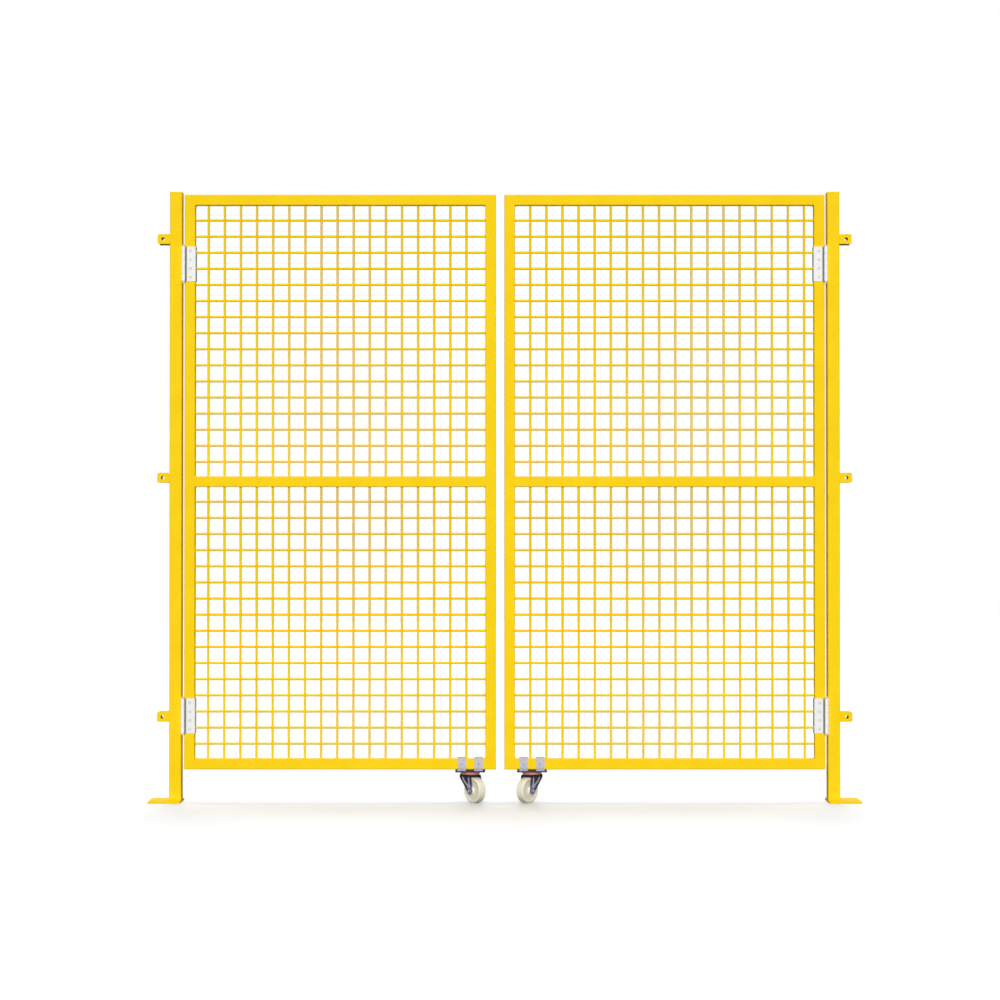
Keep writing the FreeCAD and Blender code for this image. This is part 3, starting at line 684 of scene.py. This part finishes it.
def leaf_welds(side):
    """Ground seams on the mitres and the mid rail's ends, and beads in the frame's inner corners."""
    bottom = box(f"{side}_bottom_rail")
    top = box(f"{side}_top_rail")
    middle = box(f"{side}_mid_rail")
    faces = (bottom[0].y, bottom[1].y)
    rail_face = bottom[1].z - bottom[0].z
    off_corner = 0.7
    shape = bmesh.new()
    for outer_x, into_x in ((bottom[0].x, 1), (bottom[1].x, -1)):
        inner_x = outer_x + into_x * rail_face
        for outer_z, into_z in ((bottom[0].z, 1), (top[1].z, -1)):
            inner_z = outer_z + into_z * rail_face
            for y in faces:
                start = (inner_x, y, inner_z)
                end = (outer_x + into_x * TUBE_CORNER, y, outer_z + into_z * TUBE_CORNER)
                ground_seam(shape, start, end)
            inside_bead(shape, inner_x + into_x * off_corner, faces, inner_z + into_z * off_corner)
        for edge, away in ((middle[0].z, -1), (middle[1].z, 1)):
            inside_bead(shape, inner_x + into_x * off_corner, faces, edge + away * off_corner)
        for y in faces:
            start = (inner_x, y, middle[0].z + TUBE_CORNER)
            end = (inner_x, y, middle[1].z - TUBE_CORNER)
            ground_seam(shape, start, end)
    new_piece(f"{side}_leaf_welds", shape, f"{side}_leaf", "yellow_paint")


def ground_seam(shape, start, end):
    """Weld across a face of the frame, ground almost flush."""
    width, height, step = 5, 0.5, 2
    bead(shape, straight(start, end, step), (0, 1, 0), width, height)


def inside_bead(shape, x, faces, z):
    """Bead across the depth of the frame in an inner corner."""
    start = (x, faces[0] + TUBE_CORNER, z)
    end = (x, faces[1] - TUBE_CORNER, z)
    width = 4
    bead(shape, straight(start, end), (0, 0, 1), width, width, ripple=WELD_RIPPLE)


# Hinges

def hinge_returns(side, hand):
    """Return flange of each gate plate, bent round the inner corner of the stile."""
    gate = box(f"{side}_hinge_gate_plates")
    stile = box(f"{side}_hinge_stile")
    edge = gate[1].x if hand > 0 else gate[0].x
    lap, sink, short_of_back, bend_radius, easing = 3, 0.1, 2, 2.6, 0.35
    front = gate[1].y - HINGE_PLATE + sink
    behind = front + HINGE_PLATE - 2 * sink
    back = stile[1].y - short_of_back
    bend = soft_corners([
        (-lap, front, 0),
        (HINGE_PLATE, front, bend_radius),
        (HINGE_PLATE, back, 0),
        (0, back, 0),
        (0, behind, 0),
        (-lap, behind, 0),
    ])
    shape = bmesh.new()
    for bottom in (gate[0].z, gate[1].z - HINGE_LENGTH):
        skin(shape, [[(edge + hand * x, y, z) for x, y in bend] for z in (bottom, bottom + HINGE_LENGTH)])
    ease(shape, easing)
    new_piece(f"{side}_hinge_returns", shape, f"{side}_leaf", "hinge_steel", eased=True)


def hinge_sleeves(side):
    """Sleeve over each knuckle of the barrels, in turn on the post and on the leaf."""
    pins = box(f"{side}_hinge_pins")
    gate = box(f"{side}_hinge_gate_plates")
    axis = (pins[0] + pins[1]) / 2
    pitch = HINGE_LENGTH / KNUCKLES
    inset, lip = 0.2, 0.6
    inside, outside = HINGE_BARREL - inset, SLEEVE_RADIUS
    profile = soft_corners([
        (inside, inset, 0),
        (outside, inset, lip),
        (outside, pitch - inset, lip),
        (inside, pitch - inset, 0),
    ])
    on_post, on_gate = bmesh.new(), bmesh.new()
    for bottom in (gate[0].z, gate[1].z - HINGE_LENGTH):
        for i in range(KNUCKLES):
            place = Matrix.Translation((axis.x, axis.y, bottom + pitch * i))
            turned(on_gate if i % 2 else on_post, place, profile, sides=48, closed=True)
    # The sleeves take the whiter copy of the hinge steel, a painted highlight.
    new_piece(f"{side}_hinge_post_sleeves", on_post, "posts", "hinge_steel", material=LIT_BARREL_STEEL)
    new_piece(f"{side}_hinge_gate_sleeves", on_gate, f"{side}_leaf", "hinge_steel", material=LIT_BARREL_STEEL)


def hinge_screws(side, hand):
    """Screws that hold the hinges to the stile and, sunk almost flush beside the stile, to the post."""
    gate = box(f"{side}_hinge_gate_plates")
    post = box(f"{side}_hinge_post_plates")
    pins = box(f"{side}_hinge_pins")
    axis = (pins[0] + pins[1]) / 2
    root = HINGE_BARREL + KNUCKLE_RELIEF
    gate_edge = gate[1].x if hand > 0 else gate[0].x
    gate_x = (axis.x + hand * root + gate_edge) / 2
    gate_y = gate[1].y - HINGE_PLATE
    post_x = axis.x - hand * (HINGE_BARREL - HINGE_PLATE)
    post_y = (axis.y + root + post[1].y) / 2
    pitch = HINGE_LENGTH / HINGE_SCREWS
    diameter, socket, raised, sunk = 9, 2.5, 1.2, 0.45
    gate_shape = bmesh.new()
    post_shape = bmesh.new()
    for bottom in (gate[0].z, gate[1].z - HINGE_LENGTH):
        for i in range(HINGE_SCREWS):
            z = bottom + pitch * (i + 0.5)
            screw_head(gate_shape, stand((gate_x, gate_y, z), (0, -1, 0)), diameter, raised, socket)
            screw_head(post_shape, stand((post_x, post_y, z), (hand, 0, 0)), diameter, sunk, socket)
    new_piece(f"{side}_hinge_gate_screws", gate_shape, f"{side}_leaf", "bright_steel")
    new_piece(f"{side}_hinge_post_screws", post_shape, "posts", "bright_steel")


# Casters

def caster_fasteners(side):
    """Rivets through the caster plate and the bracket feet, and screws through the brackets into the rail."""
    plate_low, plate_high = box(f"{side}_caster_plate")
    rail_low, rail_high = box(f"{side}_bottom_rail")
    middle = (plate_low + plate_high) / 2
    upper_head, lower_head = dome(6, 1.8), dome(5.5, 1.5)
    diameter, height, socket = 8, 1.1, 3
    rivets = bmesh.new()
    screws = bmesh.new()
    for across in (-CASTER_RIVET_X, CASTER_RIVET_X):
        x = middle.x + across
        for along in CASTER_RIVET_Y:
            y = middle.y + along
            turned(rivets, stand((x, y, plate_high.z + BRACKET_THICKNESS), (0, 0, 1)), upper_head)
            turned(rivets, stand((x, y, plate_low.z), (0, 0, -1)), lower_head)
        for face, facing in ((rail_low.y - BRACKET_THICKNESS, -1), (rail_high.y + BRACKET_THICKNESS, 1)):
            place = stand((x, face, (rail_low.z + rail_high.z) / 2), (0, facing, 0))
            screw_head(screws, place, diameter, height, socket)
    new_piece(f"{side}_caster_rivets", rivets, f"{side}_leaf", "bracket_zinc")
    new_piece(f"{side}_bracket_screws", screws, f"{side}_leaf", "caster_steel", material=RIB_HIGHLIGHT_STEEL)


def fork_place(side):
    """Placement of a fork: its x along the trail, its y along the axle, on the floor under the kingpin."""
    low, high = box(f"{side}_kingpin")
    turn = Matrix.Rotation(math.radians(CASTER_TURN[side]), 4, "Z")
    return Matrix.Translation(((low.x + high.x) / 2, (low.y + high.y) / 2, 0)) @ turn


def fork_ribs(side):
    """Pressed ribs that stiffen each leg of the fork and run together above the axle."""
    place = fork_place(side)
    rib_width, rib_height, step = 6, 3, 1.5
    shape = bmesh.new()
    # Each rib's corners, as (distance along the trail, height): the rear rib, then the front one.
    ribs = (
        ((-13, 78), (-3, 66), (13, 55), (21, 47)),
        ((19, 79), (19.5, 68), (21, 58), (23.5, 47)),
    )
    for leg in (-FORK_OUTSIDE, FORK_OUTSIDE):
        out = place.to_3x3() @ Vector((0, leg, 0))
        for corners in ribs:
            points = [place @ Vector((along, leg, height)) for along, height in corners]
            path = []
            for near, far in zip(points, points[1:]):
                path += straight(near, far, step)[:-1]
            bead(shape, path + points[-1:], out, rib_width, rib_height)
    new_piece(f"{side}_fork_ribs", shape, f"{side}_fork", "caster_steel", material=RIB_HIGHLIGHT_STEEL)


def axle(side):
    """Riveted axle: a shank through the hub, and outside each leg a domed head with a bright turned tip."""
    place = fork_place(side) @ Matrix.Translation((CASTER_TRAIL, 0, WHEEL_RADIUS))
    head = [(7, 0), (7, 1.4), (6.6, 2.4), (5.6, 3.2), (3.6, 3.7)]
    tip = [(3.4, 0), (3.4, 0.8), (3.0, 1.3), (1.6, 1.6)]
    tip_foot = FORK_OUTSIDE + 3.4
    heads = bmesh.new()
    tips = bmesh.new()

    def on_axle(distance, facing):
        return place @ stand((0, facing * distance, 0), (0, facing, 0))

    turned(heads, on_axle(-FORK_OUTSIDE, 1), [(AXLE_RADIUS, 0), (AXLE_RADIUS, 2 * FORK_OUTSIDE)])
    for facing in (-1, 1):
        turned(heads, on_axle(FORK_OUTSIDE, facing), head)
        turned(tips, on_axle(tip_foot, facing), tip)
    new_piece(f"{side}_axle_rivet", heads, f"{side}_fork", "caster_steel", f"{side}_caster_axle")
    new_piece(f"{side}_axle_tips", tips, f"{side}_fork", "bright_steel")


def wheel(side):
    """Moulded wheel with eased edges, a shallow dished web and a hub that fills the fork."""
    place = fork_place(side) @ stand((CASTER_TRAIL, 0, WHEEL_RADIUS), (0, 1, 0))
    running_gap = 0.05
    bore = AXLE_RADIUS + running_gap
    web_edge, rim_edge = 29, 32
    half = [
        (bore, HUB_END, 0),
        (HUB_RADIUS, HUB_END, 0.8),
        (HUB_RADIUS, WHEEL_HALF_WEB, 2),
        (web_edge, WHEEL_HALF_WEB, 3),
        (rim_edge, WHEEL_HALF_WIDTH, 3),
        (WHEEL_RADIUS, WHEEL_HALF_WIDTH, 3.1),
    ]
    other_half = [(radius, -height, corner) for radius, height, corner in reversed(half)]
    shape = bmesh.new()
    turned(shape, place, soft_corners(half + other_half), sides=96, closed=True)
    new_piece(f"{side}_wheel_moulding", shape, f"{side}_wheel", "wheel_nylon", f"{side}_caster_wheel")


EASED_EDGES = {
    "base_plate": 0.8,
    "post_cap": 1.0,
    "panel_lugs": 0.6,
    "hinge_gate_plates": 0.4,
    "hinge_post_plates": 0.4,
    "caster_plate": 0.7,
    "caster_brackets": 0.6,
    "caster_fork": 0.6,
}
for side, hand in SIDES.items():
    for level in LEVELS:
        mesh_panel(side, hand, level)
    for part, radius in EASED_EDGES.items():
        rounded_copy(side, part, radius)
    post_welds(side, hand)
    leaf_welds(side)
    hinge_returns(side, hand)
    hinge_sleeves(side)
    hinge_screws(side, hand)
    caster_fasteners(side)
    fork_ribs(side)
    axle(side)
    wheel(side)


# Studio

def camera():
    """View from the front, looking up a little, as in the photograph."""
    distance = 6.6
    view_width = 3.0955
    middle_x, middle_z = 1.0046, 0.9348
    upward = math.radians(0.63)
    post_front = box("left_post")[0].y * TO_METRES
    data = bpy.data.cameras.new("camera")
    data.sensor_width = 36
    data.lens = data.sensor_width * distance / view_width
    eye = bpy.data.objects.new("camera", data)
    eye.location = (middle_x, post_front - distance, middle_z - distance * math.tan(upward))
    eye.rotation_euler = (math.radians(90) + upward, 0, 0)
    bpy.context.scene.collection.objects.link(eye)
    bpy.context.scene.camera = eye


def floor():
    """Plain pale floor. It takes shadows but doesn't light the gate from below or show in it."""
    middle_x, reach = 1, 12
    shape = bmesh.new()
    corners = [(-reach, -reach), (reach, -reach), (reach, reach), (-reach, reach)]
    shape.faces.new([shape.verts.new((middle_x + x, y, 0)) for x, y in corners])
    mesh = bpy.data.meshes.new("floor")
    shape.to_mesh(mesh)
    shape.free()
    material, tree, shader, place = new_material("pale_floor")
    colour = colours(tree, noise(tree, place, scale=3), (0.92, 0.94, 0.97), (0.94, 0.96, 0.99))
    tree.links.new(colour, shader.inputs["Base Color"])
    shader.inputs["Roughness"].default_value = 0.9
    shader.inputs["Specular IOR Level"].default_value = 0.1
    mesh.materials.append(material)
    ground = bpy.data.objects.new("floor", mesh)
    ground.visible_diffuse = False
    ground.visible_glossy = False
    bpy.context.scene.collection.objects.link(ground)


def softbox(name, height, azimuth, strength):
    """Wide, even light from far off, at a height in degrees. Azimuth 0 is in front of the gate."""
    width = 36
    data = bpy.data.lights.new(name, "SUN")
    data.energy = strength
    data.angle = math.radians(width)
    lamp = bpy.data.objects.new(name, data)
    lamp.rotation_euler = (math.radians(90 - height), 0, math.radians(azimuth))
    lamp.visible_glossy = False
    bpy.context.scene.collection.objects.link(lamp)


def window(tree, toward, azimuth, height, full, edge, strength):
    """Round window of light: even as far as full degrees from its middle, fading out at edge degrees."""
    turn, lift = math.radians(azimuth), math.radians(height)
    nearness = tree.nodes.new("ShaderNodeVectorMath")
    nearness.operation = "DOT_PRODUCT"
    tree.links.new(toward, nearness.inputs[0])
    nearness.inputs[1].default_value = (
        math.sin(turn) * math.cos(lift),
        -math.cos(turn) * math.cos(lift),
        math.sin(lift),
    )
    start, end = math.cos(math.radians(edge)), math.cos(math.radians(full))
    return spread(tree, nearness.outputs["Value"], start, end, 0, strength)


def surroundings():
    """White studio: a wide window in front, a smaller one behind. Metal also shows a floor and a ceiling."""
    dim, ceiling_glow, ground_glow = 0.05, 0.6, 0.85
    world = bpy.data.worlds.new("studio")
    world.use_nodes = True
    tree = world.node_tree
    toward = tree.nodes.new("ShaderNodeTexCoord").outputs["Generated"]
    split = tree.nodes.new("ShaderNodeSeparateXYZ")
    tree.links.new(toward, split.inputs["Vector"])
    rays = tree.nodes.new("ShaderNodeLightPath")
    ceiling = spread(tree, split.outputs["Z"], 0.15, 0.35, 0, ceiling_glow)
    ground = spread(tree, split.outputs["Z"], -0.12, -0.25, 0, ground_glow)
    in_metal = combine(tree, "MULTIPLY", rays.outputs["Is Glossy Ray"], combine(tree, "ADD", ceiling, ground))
    front = window(tree, toward, azimuth=0, height=14, full=24, edge=42, strength=1.0 - dim)
    behind = window(tree, toward, azimuth=180, height=40, full=15, edge=35, strength=0.8 - dim)
    both = combine(tree, "ADD", front, behind)
    lit = tree.nodes.new("ShaderNodeBackground")
    total = combine(tree, "ADD", combine(tree, "MAXIMUM", both, in_metal), dim)
    tree.links.new(total, lit.inputs["Strength"])
    seen = tree.nodes["Background"]
    seen.inputs["Color"].default_value = (1, 1, 1, 1)
    lit.inputs["Color"].default_value = (1, 1, 1, 1)
    either = tree.nodes.new("ShaderNodeMixShader")
    tree.links.new(rays.outputs["Is Camera Ray"], either.inputs["Fac"])
    tree.links.new(lit.outputs["Background"], either.inputs[1])
    tree.links.new(seen.outputs["Background"], either.inputs[2])
    tree.links.new(either.outputs["Shader"], tree.nodes["World Output"].inputs["Surface"])
    bpy.context.scene.world = world


camera()
floor()
surroundings()
softbox("front_softbox", height=20, azimuth=0, strength=2.2)
softbox("overhead_softbox", height=82, azimuth=180, strength=0.95)
softbox("back_softbox", height=25, azimuth=180, strength=1.6)
softbox("left_softbox", height=35, azimuth=-105, strength=0.6)
softbox("right_softbox", height=35, azimuth=105, strength=0.6)
bpy.context.scene.view_settings.view_transform = "Standard"
